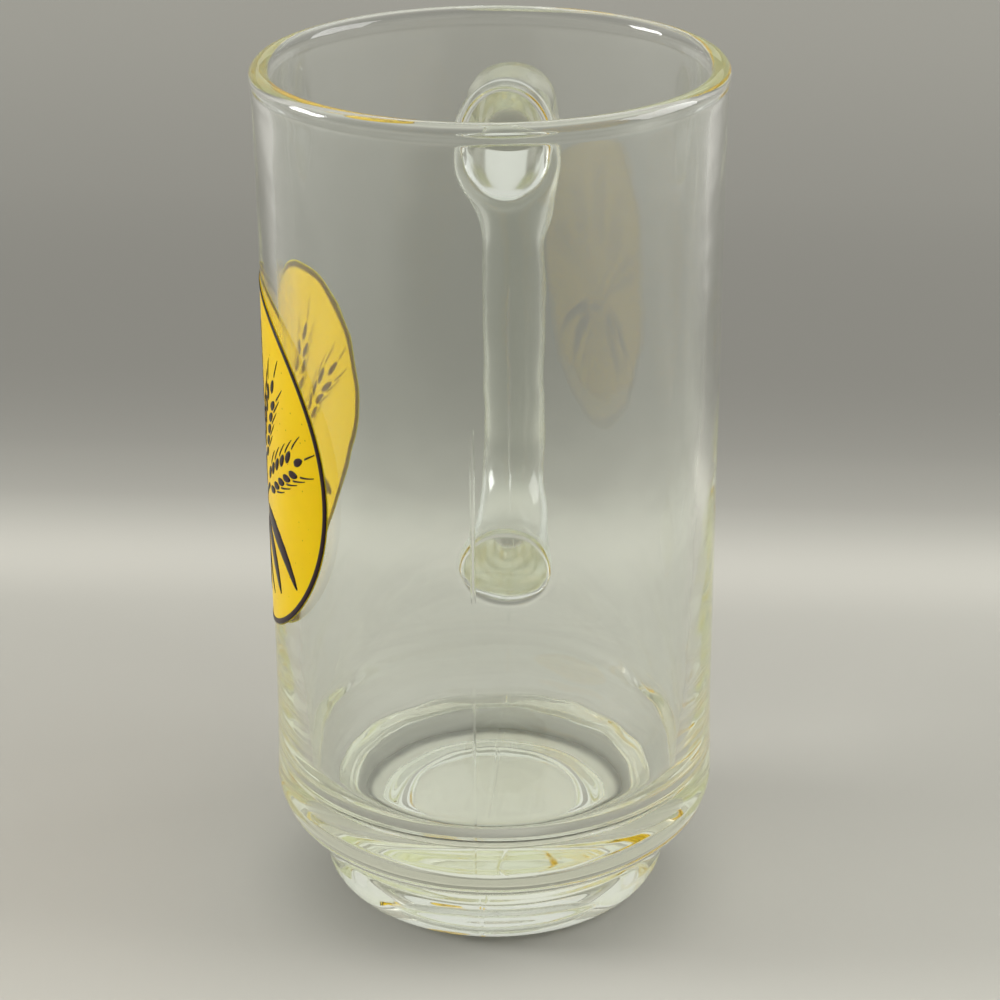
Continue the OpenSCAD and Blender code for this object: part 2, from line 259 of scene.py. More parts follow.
def bend(a, c, b, radius, count=60):
    """The arc that rounds corner c on the way from a to b, turning clockwise: it starts
    radius * tan(turn / 2) before the corner."""
    h0 = np.arctan2(*(c - a)[::-1])
    turn = (h0 - np.arctan2(*(b - c)[::-1])) % (2 * np.pi)
    start = c - unit(c - a) * radius * np.tan(turn / 2)
    centre = start + radius * np.array([np.sin(h0), -np.cos(h0)])
    h = np.linspace(h0, h0 - turn, count)
    return centre + radius * np.stack([-np.sin(h), np.cos(h)], 1)


middle = np.concatenate([
    [root_top - unit(corner_top - root_top) * root_h], [root_top],
    bend(root_top, corner_top, corner_low, bend_r),
    bend(corner_top, corner_low, root_low, bend_low_r),
    [root_low], [root_low - unit(corner_low - root_low) * root_low_h]])
steps = np.linalg.norm(np.diff(middle, axis=0), axis=1)
along = np.concatenate([[0], np.cumsum(steps)])
s_top, s_low = along[1], along[-2]
print("length of the handle's middle line in mm:", round((s_low - s_top) / mm, 1))

segment_heading = np.unwrap(np.arctan2(*np.diff(middle, axis=0).T[::-1]))
segment_middle = (along[1:] + along[:-1]) / 2


def taper(d, length):
    """What is left of a root's height at distance d from it: the square of the nearness."""
    return (1 - np.clip(d / length, 0, 1)) ** 2


def step(d, length):
    """A smooth step from 0 to 1 over a length: half a cosine wave, flat before and after."""
    return ease(np.clip(d / length, 0, 1))


def width(d, d_low):
    """The handle's width: it grows from the upper root to the shoulder at its bend, narrows to the
    grip, and grows again towards the lower root."""
    upper = np.where(d < shoulder_l, root_w + (shoulder_w - root_w) * step(d, shoulder_l),
                     shoulder_w + (grip_w - shoulder_w) * step(d - shoulder_l, narrow_l))
    return upper + (root_low_w - grip_w) * (1 - step(d_low - low_arm_l, narrow_low_l))


def handle_point(s, a):
    """A point of the handle's skin at distance s along its middle line and at section angle a. The
    section is an ellipse: (half_w * cos a, half_t * sin a)."""
    y, z = np.interp(s, along, middle[:, 0]), np.interp(s, along, middle[:, 1])
    h = np.interp(s, segment_middle, segment_heading)
    d, d_low = s - s_top, s_low - s
    half_w = width(d, d_low) / 2
    half_t = (grip_t + (root_h - grip_t) * taper(d, taper_l)
              + (root_low_h - grip_t) * taper(d_low, taper_low_l)) / 2
    out = half_t * np.sin(a)
    return np.stack([half_w * np.cos(a) + 0 * s, y - np.sin(h) * out, z + np.cos(h) * out], -1)


def off_wall(p):
    """How far point p stands off the wall: its distance from the axis less the wall's radius."""
    return np.hypot(p[..., 0], p[..., 1]) - outer_r(p[..., 2])


def unrolled(p):
    """Point p in the wall's own measure: arc length round the wall, height, and standing off."""
    return np.stack([wall_r * np.arctan2(p[..., 0], p[..., 1]), p[..., 2], off_wall(p)], -1)


def rolled(q):
    """The way back from the wall's own measure to x, y and z."""
    r = outer_r(q[..., 1]) + q[..., 2]
    return np.stack([r * np.sin(q[..., 0] / wall_r), r * np.cos(q[..., 0] / wall_r), q[..., 1]], -1)


# %% [markdown]
# ## Sewing the handle in
#
# Hot glass flows into a small fillet where a handle meets the wall. A boolean union would make a
# sharp joint and ragged faces there. So each line of the handle is followed down to the height at
# which it stands off the wall by a little, and then led out over the wall to the edge of its gap.

# %% Lines of the roots
def rectangle_loop(row, flip):
    """Points of the gap's edge, counterclockwise from the middle of its right side, as the wall's
    arc length and height. With flip, top and bottom change places, because the handle comes back
    to the wall upside down."""
    c, r = root_cols, root_rows
    j = np.concatenate([np.full(r, c), np.arange(c, -c, -1), np.full(2 * r, -c),
                        np.arange(-c, c), np.full(r, c)])
    i = np.concatenate([np.arange(0, r), np.full(2 * c, r), np.arange(r, -r, -1),
                        np.full(2 * c, -r), np.arange(-r, 0)])
    x = j * wall_r * 2 * np.pi / columns
    return np.stack([x, wall_z[row + (-i if flip else i)]], 1), np.arctan2(i / r, j / c)


def wall_distance(s, a, target, inside, outside, halvings=40):
    """The distance along each line at which it stands off the wall by target, found by halving
    the stretch between a station inside the wall and one outside it."""
    lo, hi = np.full_like(s, inside), np.full_like(s, outside)
    for _ in range(halvings):
        mid = (lo + hi) / 2
        beyond = off_wall(handle_point(mid, a)) > target
        lo, hi = np.where(beyond, lo, mid), np.where(beyond, mid, hi)
    return (lo + hi) / 2


# %% Rings of the roots
# The stretches of the middle line that a root takes up in the glass of the wall and outside it, and
# how many rings there are on the wall, up the fillet, along the arm and along the grip
in_wall_l, arm_l = 9 * mm, 14 * mm
wall_rings, fillet_rings, arm_rings, grip_count = 7, 9, 15, 110
# The fillets' radii over, under and beside each root
top_fillet = (2.6 * mm, 3.4 * mm, 3.0 * mm)
low_fillet = (4.6 * mm, 2.4 * mm, 1.6 * mm)


def root_rings(row, s_root, sign, flip, over, under, beside):
    """Rings from the gap's edge in over the wall, up the fillet and out along the arm. On the
    fillet a ring stands off by r (1 - cos f) and is spread by r (1 - sin f), so it leaves the wall
    and meets the arm without a crease. Its radius r passes from beside, at the sides, to over and
    under with the square of the sine of the section angle."""
    loop, a = rectangle_loop(row, flip)
    inside, outside = s_root - sign * in_wall_l, s_root + sign * arm_l
    upwards = np.sin(a) * (-1 if flip else 1)
    fillet_r = beside + (np.where(upwards > 0, over, under) - beside) * upwards ** 2
    f = np.radians(np.linspace(0, 90, fillet_rings))[:, None]
    stand = fillet_r * (1 - np.cos(f)) + 0 * a
    s = wall_distance(stand, a + 0 * f, stand, inside, outside)
    skin = unrolled(handle_point(s, a + 0 * f))
    away = np.stack([np.cos(a), np.sin(a) * (-1 if flip else 1)], -1)
    skin[..., :2] += (fillet_r * (1 - np.sin(f)))[..., None] * away
    skin[..., 2] = stand
    t = np.linspace(0, 1, wall_rings)[:-1, None, None]
    on_wall = (1 - t) * loop + t * skin[0, :, :2]
    on_wall = np.concatenate([on_wall, 0 * on_wall[..., :1]], -1)
    u = np.linspace(0, 1, arm_rings)[1:, None]
    free = handle_point((1 - u) * s[-1] + u * outside, a + 0 * u)
    return np.concatenate([rolled(on_wall), rolled(skin), free]), a


top_rings, section_a = root_rings(top_row, s_top, 1, False, *top_fillet)
low_rings, _ = root_rings(low_row, s_low, -1, True, *low_fillet)
grip_s = np.linspace(s_top + arm_l, s_low - arm_l, grip_count)[1:-1, None]
grip_rings = handle_point(grip_s, section_a + 0 * grip_s)
rings = np.concatenate([top_rings, grip_rings, low_rings[::-1]])
print("rings and lines of the handle:", rings.shape[:2])

# %% One skin for the vessel and the handle
merge_d = 0.01 * mm


def skin_object(name, parts):
    """One object from several sets of points and faces. Points that fall together are merged, and
    the faces are turned to point outwards."""
    made = bmesh.new()
    for points, some_faces in parts:
        points = points.reshape(-1, 3)
        verts = [made.verts.new(p) for p in points.tolist()]
        for face in some_faces.reshape(-1, some_faces.shape[-1]).tolist():
            made.faces.new([verts[k] for k in face])
    bmesh.ops.remove_doubles(made, verts=made.verts, dist=merge_d)
    bmesh.ops.recalc_face_normals(made, faces=made.faces)
    mesh = bpy.data.meshes.new(name)
    made.to_mesh(mesh)
    made.free()
    mesh.shade_smooth()
    piece = bpy.data.objects.new(name, mesh)
    bpy.context.scene.collection.objects.link(piece)
    return piece


def fan(ring, centre):
    """Triangles from a ring of points to one point in its middle."""
    n = len(ring)
    i = np.arange(n)
    return np.concatenate([ring, [centre]]), np.stack([i, (i + 1) % n, np.full(n, n)], -1)


glass = skin_object("glass", [
    (body, body_faces),
    (rings, grid_faces(*rings.shape[:2])),
    fan(body[0], (0, 0, punt_h)),
    fan(body[-1], (0, 0, base_t)),
])
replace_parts(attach(glass, "root"), "vessel", "handle")
print("triangles in the glass:", sum(len(p.vertices) - 2 for p in glass.data.polygons))

# %% [markdown]
# ## Nodes in few words
#
# A material is a net of nodes. Most of them here do one sum or one smooth step, so a few small
# functions make such a node, feed it, and give back its output for the next one.

# %% Helpers for materials
def new_material(name):
    """A new material with its nodes, its links and its shader."""
    material = bpy.data.materials.new(name)
    material.use_nodes = True
    nodes = material.node_tree.nodes
    return material, nodes, material.node_tree.links, nodes["Principled BSDF"]


def feed(links, own, value):
    """Links another node's output to an input, or writes a plain value into it."""
    if isinstance(value, bpy.types.NodeSocket):
        links.new(value, own)
    else:
        own.default_value = value


def made_node(nodes, links, kind, **values):
    """A node of a kind with some of its inputs fed. In an input's name, a space is written _."""
    node = nodes.new("ShaderNode" + kind)
    for name, value in values.items():
        feed(links, node.inputs[name.replace("_", " ")], value)
    return node


def ranged(nodes, links, value, start, stop, low, high, kind="SMOOTHSTEP"):
    """A step of a value from low, at start, to high, at stop, and flat before and after."""
    node = made_node(nodes, links, "MapRange", Value=value, From_Min=start, From_Max=stop,
                     To_Min=low, To_Max=high)
    node.interpolation_type = kind
    return node.outputs[0]


def math_of(nodes, links, operation, first, second=0.0):
    """One sum on two values."""
    node = nodes.new("ShaderNodeMath")
    node.operation = operation
    feed(links, node.inputs[0], first)
    feed(links, node.inputs[1], second)
    return node.outputs[0]


def vector_of(nodes, links, operation, first, second=(0, 0, 0), result="Value"):
    """One sum on two vectors. A length or a dot product is a value, the others give a vector."""
    node = nodes.new("ShaderNodeVectorMath")
    node.operation = operation
    feed(links, node.inputs[0], first)
    feed(links, node.inputs[1], second)
    return node.outputs[result]


# %% [markdown]
# ## Clear soda-lime glass
#
# The faint yellow-green of plain glass comes from iron in the melt, so it deepens with the length
# of the way through it. A coloured surface would tint thin and thick glass alike, so nearly all of
# the tint is an absorbing volume, and the surface has only a trace of it.
#
# A pressed mug is never as even as a lens. Fire-polishing leaves slow waves a tenth of a millimetre
# high, the handle is a little hazy from being shaped hot, the ring under the foot is worn dull, and
# a hair-fine ridge shows where the halves of the mould met.

# %% Sizes of the finish
haze, handle_haze, scuffed = 0.025, 0.15, 0.45
haze_start, haze_full = 40.2 * mm, 41.5 * mm
scuff_low, scuff_high = 0.05 * mm, 0.15 * mm
ripple_h, waves_per_m = 0.10 * mm, 90
seam_turn, seam_w, seam_rise = np.radians(-1.0), 0.35 * mm, 0.6
seam_top, seam_fade = 96 * mm, 8 * mm
glass_ior, glass_tint = 1.52, (0.976, 0.992, 0.972, 1)
melt_tint, melt_density = (0.80, 0.88, 0.10, 1), 2.2


# %% The glass material
def glass_roughness(nodes, links, place, height):
    """Haze that grows from the wall's to the handle's with the distance from the axis, or the scuff
    that dies out with the height over the table: the larger of the two."""
    from_axis = vector_of(nodes, links, "LENGTH", vector_of(
        nodes, links, "MULTIPLY", place, (1, 1, 0), "Vector"))
    body = ranged(nodes, links, from_axis, haze_start, haze_full, haze, handle_haze)
    scuff = ranged(nodes, links, height, scuff_low, scuff_high, scuffed, 0.0)
    return math_of(nodes, links, "MAXIMUM", body, scuff)


def glass_normal(nodes, links, place, height):
    """Waves from a noise, plus a ridge that falls off with the distance from the seam's plane and
    dies out at the height of the seam's top."""
    waves = made_node(nodes, links, "TexNoise", Vector=place, Scale=waves_per_m, Detail=1)
    off_seam = vector_of(nodes, links, "DOT_PRODUCT", place, (np.cos(seam_turn), np.sin(seam_turn), 0))
    away = math_of(nodes, links, "ABSOLUTE", off_seam)
    seam = math_of(nodes, links, "MULTIPLY", ranged(nodes, links, away, 0.0, seam_w, seam_rise, 0.0),
                   ranged(nodes, links, height, seam_top, seam_top + seam_fade, 1.0, 0.0))
    rise = math_of(nodes, links, "ADD", waves.outputs["Fac"], seam)
    return made_node(nodes, links, "Bump", Distance=ripple_h, Height=rise).outputs[0]


def glass_material():
    """Clear glass with a worn, wavy surface and an absorbing volume."""
    material, nodes, links, shader = new_material("clear_glass")
    shader.inputs["Base Color"].default_value = glass_tint
    shader.inputs["IOR"].default_value = glass_ior
    shader.inputs["Transmission Weight"].default_value = 1
    place = nodes.new("ShaderNodeTexCoord").outputs["Object"]
    height = made_node(nodes, links, "SeparateXYZ", Vector=place).outputs["Z"]
    links.new(glass_roughness(nodes, links, place, height), shader.inputs["Roughness"])
    links.new(glass_normal(nodes, links, place, height), shader.inputs["Normal"])
    tint = made_node(nodes, links, "VolumeAbsorption", Color=melt_tint, Density=melt_density)
    links.new(tint.outputs[0], nodes["Material Output"].inputs["Volume"])
    return material


glass.data.materials.append(glass_material())
print("nodes in the glass:", len(glass.data.materials[0].node_tree.nodes))

# %% [markdown]
# ## The badge on its wall
#
# The badge is screen-printed enamel that was fired onto the wall: a yellow ground, then a dark border
# and a sheaf of barley on top. A picture wrapped round the mug would be quick, but flat. Each mark is
# a thin solid instead, drawn on the unrolled wall by a formula and then rolled round it.

# %% Places on the unrolled wall
badge_w, badge_h, badge_z = 64.5 * mm, 64.5 * mm, 84.6 * mm
badge_turn = np.radians(3)
ground_t, ink_t = 0.12 * mm, 0.10 * mm
border_w, margin_w, ink_gap = 1.0 * mm, 0.2 * mm, 0.4 * mm
sunk = 0.03 * mm


def on_wall(across, up, stand):
    """Rolls a point of the badge round the wall: the angle is the arc length over the radius, less
    the turn of the badge past -X. Across grows towards the handle."""
    a, z = across / wall_r - badge_turn, badge_z + up
    r = outer_r(z) + stand
    return np.stack([-r * np.cos(a), r * np.sin(a), z], -1)


def pillow(across, up, low, high):
    """The two sides of a thin closed solid over a grid of places. The front stands off the wall by
    high, which comes down to low at the grid's edge, and the back lies at low."""
    return on_wall(across, up, high), on_wall(across, up, low + 0 * high)


# %% [markdown]
# ## Marks along bent lines
#
# Grains, awns, straws, leaves and the tie are all strokes: a mark with a changing width along a line
# that bends evenly. One function makes them all, so a change of the pen changes the whole drawing.

# %% The pen
def on_line(line, s, off):
    """The point at distance s along a bent line, moved off it to the right by off. The heading is
    measured from straight up and grows evenly, so the line is an arc: its x is the integral of the
    heading's sine and its y that of the cosine."""
    (x, y), first, last, length = line
    h0 = np.radians(first)
    k = np.radians(last - first) / length or 1e-6
    h = h0 + k * s
    return (x + (np.cos(h0) - np.cos(h)) / k + off * np.cos(h),
            y + (np.sin(h) - np.sin(h0)) / k - off * np.sin(h))


pen_places = np.array([-1, -0.85, -0.35, 0.35, 0.85, 1])


def pen_rise(v):
    """Height of the ink at a place across a mark, where -1 and 1 are its two edges."""
    return np.sqrt(1 - np.abs(v) ** 5)


inner_a = badge_w / 2 - margin_w - border_w - ink_gap
inner_b = badge_h / 2 - margin_w - border_w - ink_gap


def stroke(line, start, stop, width, shares):
    """One mark along a line. The shares give its half width at even steps along it. What would
    cross the border is drawn back onto an ellipse just inside it."""
    shares = np.array(shares)
    s = np.linspace(start, stop, len(shares))[:, None]
    across, up = on_line(line, s + 0 * pen_places, width / 2 * shares[:, None] * pen_places)
    beyond = np.maximum(np.hypot(across / inner_a, up / inner_b), 1)
    rise = pen_rise(pen_places) + 0 * s
    rise[0] = rise[-1] = 0
    low = ground_t - sunk
    return pillow(across / beyond, up / beyond, low, low + (ink_t + sunk) * rise)


def solid_of(strokes):
    """Points and faces of many strokes, each with a front and a back."""
    parts = []
    for front, back in strokes:
        faces = grid_faces(*front.shape[:2], wrap=False)
        parts += [(front, faces), (back, faces[..., ::-1])]
    return parts


# %% [markdown]
# ## A sheaf of barley
#
# Five ears fan out from a tie, each with pairs of grains and an awn on every grain. Under the tie the
# cut straw spreads again, and four leaves hang at the sides. The places follow from the fan's angle
# and a few lengths, so nothing is placed by hand.

# %% Draw the sheaf
ears, fan_turn = 5, 122
ear_start, ear_l, grain_pairs = 14 * mm, 18.5 * mm, 5
grain_l, grain_w, grain_tilt = 3.4 * mm, 1.5 * mm, 22
awn_l, awn_w, straw_w, straw_l = 5 * mm, 0.4 * mm, 0.9 * mm, 17.5 * mm
leaf_l, leaf_w = 22 * mm, 3.9 * mm
tie_drop, tie_w, tie_h = 9.5 * mm, 8.5 * mm, 2.6 * mm

# The outer ears start lower by a share of the middle one's start, and every ear leans out a little
# more at its tip than at the tie. The cut straw starts and ends at smaller shares of that lean.
start_drop, tie_lean, cut_lean, cut_end_lean = 0.3, 0.82, 0.3, 0.6
upper_leaf, lower_leaf = (90, 146, leaf_l), (119, 156, 0.76 * leaf_l)

# Shares of a mark's half width, at even steps along it
even_shares = [1] * 9
awn_shares = [1, 0.85, 0.7, 0.5, 0.3]
grain_shares = [0.3, 0.72, 0.95, 1, 0.96, 0.82, 0.58, 0.14]
leaf_shares = [0.25, 0.62, 0.9, 1, 0.97, 0.86, 0.68, 0.45, 0.1]
tie_shares = [0.7, 0.95, 1, 1, 1, 0.95, 0.7]


def lean(i):
    """How far ear i leans from straight up, in degrees: even steps across the fan."""
    return fan_turn * (i / (ears - 1) - 1 / 2)


def straw_x(i):
    """How far from the middle straw i passes the tie: side by side with a gap between."""
    return (i - (ears - 1) / 2) * (straw_w + ink_gap)


def start_l(i):
    """The length of bare straw from the tie to ear i: less by the ear's share of the fan."""
    return ear_start * (1 - start_drop * abs(lean(i)) / (fan_turn / 2))


def ear_line(i):
    """The line of ear i, from the tie up: its start, its first and last heading, its length."""
    return (straw_x(i), -tie_drop), tie_lean * lean(i), lean(i), start_l(i) + ear_l


def cut_line(i):
    """The line of the cut straw under ear i: it heads down and spreads to the ear's own side."""
    first, last = 180 - cut_lean * lean(i), 180 - cut_end_lean * lean(i)
    return (straw_x(i), -tie_drop), first, last, straw_l


def grain_line(i, j, side):
    """The line of grain j on one side of ear i: it starts beside the ear's own line and heads out
    from it by the tilt. Side 0 is the grain at the tip."""
    line = ear_line(i)
    s = start_l(i) + j * (ear_l - grain_l) / grain_pairs
    h = line[1] + (line[2] - line[1]) * s / line[3] + side * grain_tilt
    return on_line(line, s, side * (ink_gap + grain_w) / 2), h, h, grain_l


def awn_line(grain, side):
    """The line of a grain's awn: it goes on from the tip and bends back by half the tilt."""
    return on_line(grain, grain_l + ink_gap, 0), grain[1], grain[1] - side * grain_tilt / 2, awn_l


places = [(i, j, side) for i in range(ears) for j in range(grain_pairs) for side in (-1, 1)]
places += [(i, grain_pairs, 0) for i in range(ears)]
grains = [grain_line(*place) for place in places]
clear = tie_h / 2 + ink_gap + straw_w / 2
low_tie = -tie_drop - tie_h / 2
leaves = [((side * tie_w / 2, y), side * first, side * last, length) for side in (-1, 1)
          for y, (first, last, length) in ((-tie_drop, upper_leaf), (low_tie, lower_leaf))]

# %% Marks of the sheaf
straws = [(ear_line(i), clear, start_l(i) - ink_gap, straw_w, even_shares) for i in range(ears)]
straws += [(cut_line(i), clear, straw_l, straw_w, even_shares) for i in range(ears)]
marks = {
    "sheaf_grains": [(g, 0, grain_l, grain_w, grain_shares) for g in grains],
    "sheaf_awns": [(awn_line(g, p[2]), 0, awn_l, awn_w, awn_shares) for g, p in zip(grains, places)],
    "sheaf_straw": straws,
    "sheaf_leaves": [(leaf, ink_gap, leaf[3], leaf_w, leaf_shares) for leaf in leaves],
    "sheaf_tie": [(((-tie_w / 2, -tie_drop), 90, 90, tie_w), 0, tie_w, tie_h, tie_shares)],
}
print("marks in the sheaf:", sum(len(some) for some in marks.values()))


# %% [markdown]
# ## The yellow ground and its border
#
# The ground is a thin disc, rolled round the wall like the marks. Its back lies a hair's breadth
# inside the glass, so that no film of air comes between the two.

# %% Build the ground and the border
def ellipse(inset, spokes):
    """Places on ellipses that are inset from the badge's edge, one row for each inset."""
    a = np.radians(np.arange(spokes) * 360 / spokes)
    return (badge_w / 2 - inset) * np.cos(a), (badge_h / 2 - inset) * np.sin(a)


def badge_ground(rings=92, spokes=380, edge_w=0.3 * mm, hub=0.5 * mm):
    """The disc. Its edge is a quarter circle in section: the height is sqrt(1 - (1 - t)^2) at the
    share t of the way in from the edge."""
    inset = np.linspace(0, badge_w / 2 - hub, rings)[:, None]
    across, up = ellipse(inset, spokes)
    rise = np.sqrt(1 - (1 - np.clip(inset / edge_w, 0, 1)) ** 2) + 0 * across
    front, back = pillow(across, up, -sunk, -sunk + (ground_t + sunk) * rise)
    wrapped = grid_faces(rings, spokes)
    centre = [on_wall(np.array(0.0), np.array(0.0), stand) for stand in (ground_t, -sunk)]
    return skin_object("enamel_ground", [
        (front, wrapped), (back, wrapped[..., ::-1]),
        fan(front[-1], centre[0]), fan(back[-1], centre[1])])


def badge_border(spokes=360):
    """The ring near the disc's edge, with the same rounded section as the marks."""
    v = pen_places[:, None]
    across, up = ellipse(margin_w + border_w * (v + 1) / 2, spokes)
    low = ground_t - sunk
    front, back = pillow(across, up, low, low + (ink_t + sunk) * pen_rise(v) + 0 * across)
    faces = grid_faces(len(v), spokes)
    return skin_object("enamel_border", [(front, faces), (back, faces[..., ::-1])])


# %% [markdown]
# ## Fired enamel
#
# Enamel is ground glass and pigment, printed as a paste and melted onto the wall. It comes out of the
# kiln glossy, a little uneven in depth and with a few pinholes. Both enamels share that, so it is a
# node group: it takes a colour and gives back the fired colour, its roughness and its normal.

# %% Enamel materials
# Scales are cells to a metre. Tone and pinholes are shares of the given colour.
cloud_scale, hole_scale, grit_scale, grit_h = 180, 520, 900, 0.01 * mm
tone_low, tone_high, grit_strength = 0.94, 1.05, 0.4
hole_r, hole_edge_r, hole_tone = 0.05, 0.11, 0.55
gloss_rough, hole_rough, enamel_gloss = 0.28, 0.5, 0.08


def fired():
    """A node group. Noise over a few millimetres varies the tone by a few per cent, a finer noise
    moves the surface by microns, and rare Voronoi cells are pinholes, where it is dull and darker."""
    group = bpy.data.node_groups.new("fired", "ShaderNodeTree")
    for name, way, kind in (("Colour", "INPUT", "Color"), ("Colour", "OUTPUT", "Color"),
                            ("Roughness", "OUTPUT", "Float"), ("Normal", "OUTPUT", "Vector")):
        group.interface.new_socket(name, in_out=way, socket_type="NodeSocket" + kind)
    nodes, links = group.nodes, group.links
    given, result = nodes.new("NodeGroupInput"), nodes.new("NodeGroupOutput")
    place = nodes.new("ShaderNodeTexCoord").outputs["Object"]

    cloud = made_node(nodes, links, "TexNoise", Vector=place, Scale=cloud_scale, Detail=4).outputs["Fac"]
    cells = made_node(nodes, links, "TexVoronoi", Vector=place, Scale=hole_scale).outputs["Distance"]
    grit = made_node(nodes, links, "TexNoise", Vector=place, Scale=grit_scale).outputs["Fac"]
    tone = ranged(nodes, links, cloud, 0.0, 1.0, tone_low, tone_high, "LINEAR")
    hole = ranged(nodes, links, cells, hole_r, hole_edge_r, hole_tone, 1.0, "LINEAR")
    fire = nodes.new("ShaderNodeVectorMath")
    fire.operation = "SCALE"
    links.new(given.outputs["Colour"], fire.inputs[0])
    links.new(math_of(nodes, links, "MULTIPLY", tone, hole), fire.inputs["Scale"])
    bump = made_node(nodes, links, "Bump", Height=grit, Distance=grit_h, Strength=grit_strength)
    rough = ranged(nodes, links, hole, hole_tone, 1.0, hole_rough, gloss_rough, "LINEAR")

    for name, value in (("Colour", fire.outputs[0]), ("Roughness", rough), ("Normal", bump.outputs[0])):
        links.new(value, result.inputs[name])
    return group


fired_group = fired()


def enamel(name, colour):
    """A fired enamel: its material and its shader."""
    material, nodes, links, shader = new_material(name)
    kiln = nodes.new("ShaderNodeGroup")
    kiln.node_tree = fired_group
    kiln.inputs["Colour"].default_value = (*colour, 1)
    for socket, own in (("Colour", "Base Color"), ("Roughness", "Roughness"), ("Normal", "Normal")):
        links.new(kiln.outputs[socket], shader.inputs[own])
    shader.inputs["Specular IOR Level"].default_value = enamel_gloss
    return material, shader


# The yellow is thin enough for light to come through it, so the far half of the badge glows when it
# is seen through the glass, with a ghost of the print in it. Blue dies out in it almost at once.
yellow_reach, reach_unit = (1.2, 1.1, 0.06), 1.0 * mm
yellow, yellow_shader = enamel("yellow_enamel", (0.99, 0.42, 0.002))
yellow_shader.inputs["Subsurface Weight"].default_value = 1.0
yellow_shader.inputs["Subsurface Radius"].default_value = yellow_reach
yellow_shader.inputs["Subsurface Scale"].default_value = reach_unit
dark = enamel("dark_enamel", (0.022, 0.010, 0.014))[0]


# %% Put the enamel on
def enamel_piece(piece, node, material):
    """Gives a piece its material and slot, and lets it stand in for a node of the CAD model."""
    piece.data.materials.append(material)
    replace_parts(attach(piece, "root"), node)
    return piece


enamel_piece(badge_ground(), "badge_ground", yellow)
enamel_piece(badge_border(), "badge_border", dark)
for node, some in marks.items():
    piece = skin_object("print_" + node, solid_of(stroke(*mark) for mark in some))
    enamel_piece(piece, node, dark)

# %% [markdown]
# ## The camera
#
# The rim, the foot and the sides of the mug in the photograph settle where the camera stood, which
# way it looked and how long its lens was. It looked across the mug at the handle's inner side, a few
# degrees off the plane of the handle.

# %% Camera
camera_turn = np.radians(4.0)
camera_far, camera_high = 441.48 * mm, 266.44 * mm
camera_down, camera_aside, camera_lean = np.radians([23.613, -0.166, -0.306])
lens_mm, sensor_mm = 97.891, 36


def camera_like_the_photograph():
    """The camera stands 441 mm from the axis and 266 mm up, looks 23.6 degrees down and leans a
    third of a degree."""
    data = bpy.data.cameras.new("camera")
    data.sensor_width = sensor_mm
    data.lens = lens_mm
    data.clip_start = 10 * mm
    cam = bpy.data.objects.new("camera", data)
    bpy.context.scene.collection.objects.link(cam)
    turn = camera_turn + camera_aside
    rz = np.array([[np.cos(turn), -np.sin(turn), 0], [np.sin(turn), np.cos(turn), 0], [0, 0, 1]])
    ahead = rz @ [0, np.cos(camera_down), -np.sin(camera_down)]
    up = rz @ [0, np.sin(camera_down), np.cos(camera_down)]
    right = rz @ [1, 0, 0]
    right, up = (np.cos(camera_lean) * right + np.sin(camera_lean) * up,
                 -np.sin(camera_lean) * right + np.cos(camera_lean) * up)
    at = (camera_far * np.sin(camera_turn), -camera_far * np.cos(camera_turn), camera_high)
    cam.matrix_world = Matrix([(right[k], up[k], -ahead[k], at[k]) for k in range(3)] + [(0, 0, 0, 1)])
    bpy.context.scene.camera = cam


camera_like_the_photograph()
camera_at = bpy.context.scene.camera.matrix_world.translation
print("camera at, in mm:", [round(v / mm, 1) for v in camera_at])

# %% [markdown]
# ## The floor
#
# Glass shows nothing but its surroundings, bent. So the floor matters more than any lamp: its tone
# behind the mug is what the wall looks like, and its tone at the sides and in front, out of the
# picture, is what the wall mirrors. One plain colour would leave the glass flat. A ramp along the
# view paints the soft pool of light that the photograph has into the floor's colour, with painted
# shade further off, and three soft masks change it: at the sides to a plainer tone, round the foot
# to a painted shadow, where the mug keeps the light off, and under the foot to painted light, where
# the glass gathers light, which also glows weakly.

# %% Tones of the floor
# The ramp is painted light and shade: a pool of light round the mug, a brighter band 0.13 m behind it,
# and painted shade in front and further back.
# How far behind the mug's axis a stop of the ramp lies, in metres, and the share of the colour there
pool = ((-0.40, 0.20), (-0.16, 0.30), (-0.075, 0.58), (-0.02, 0.56), (0.06, 0.49),
        (0.105, 0.50), (0.130, 0.575), (0.150, 0.49), (0.166, 0.385), (0.20, 0.29),
        (0.26, 0.235), (0.42, 0.27), (0.70, 0.36))
painted_pool_colour = (0.84, 0.822, 0.738)
side_colour, side_start, side_full = (0.42, 0.41, 0.385), 0.21, 0.36
# Painted shadow: the floor is darker in a ring round the foot, where the mug keeps the light off.
contact_shadow_colour, contact_shadow_start, contact_shadow_full = (0.36, 0.355, 0.32), 0.050, 0.024
# Painted light: the floor under the foot is lighter, where the glass gathers light, and the same colour
# glows weakly there as an emission, though the floor is no lamp.
painted_under_light, painted_under_start, painted_under_full = (0.97, 0.95, 0.86), 0.0255, 0.0235
painted_under_glow, floor_rough, floor_gloss = 0.2, 0.9, 0.1


def ramp_of(nodes, links, stops, colour, distance):
    """A smooth ramp over distance. Its stops give the distance and the share of the colour there."""
    first, last = stops[0][0], stops[-1][0]
    ramp = nodes.new("ShaderNodeValToRGB")
    ramp.color_ramp.interpolation = "CARDINAL"
    elements = ramp.color_ramp.elements
    while len(elements) < len(stops):
        elements.new(0.5)
    for element, (at, light) in zip(elements, stops):
        element.position = (at - first) / (last - first)
        element.color = (*(light * c for c in colour), 1)
    links.new(ranged(nodes, links, distance, first, last, 0.0, 1.0, "LINEAR"), ramp.inputs[0])
    return ramp.outputs[0]


def mixed(nodes, links, share, first, second):
    """A colour that goes from the first to the second with the share."""
    mix = nodes.new("ShaderNodeMix")
    mix.data_type = "RGBA"
    for name, value in (("Factor", share), ("A", first), ("B", second)):
        feed(links, mix.inputs[name], value)
    return mix.outputs["Result"]


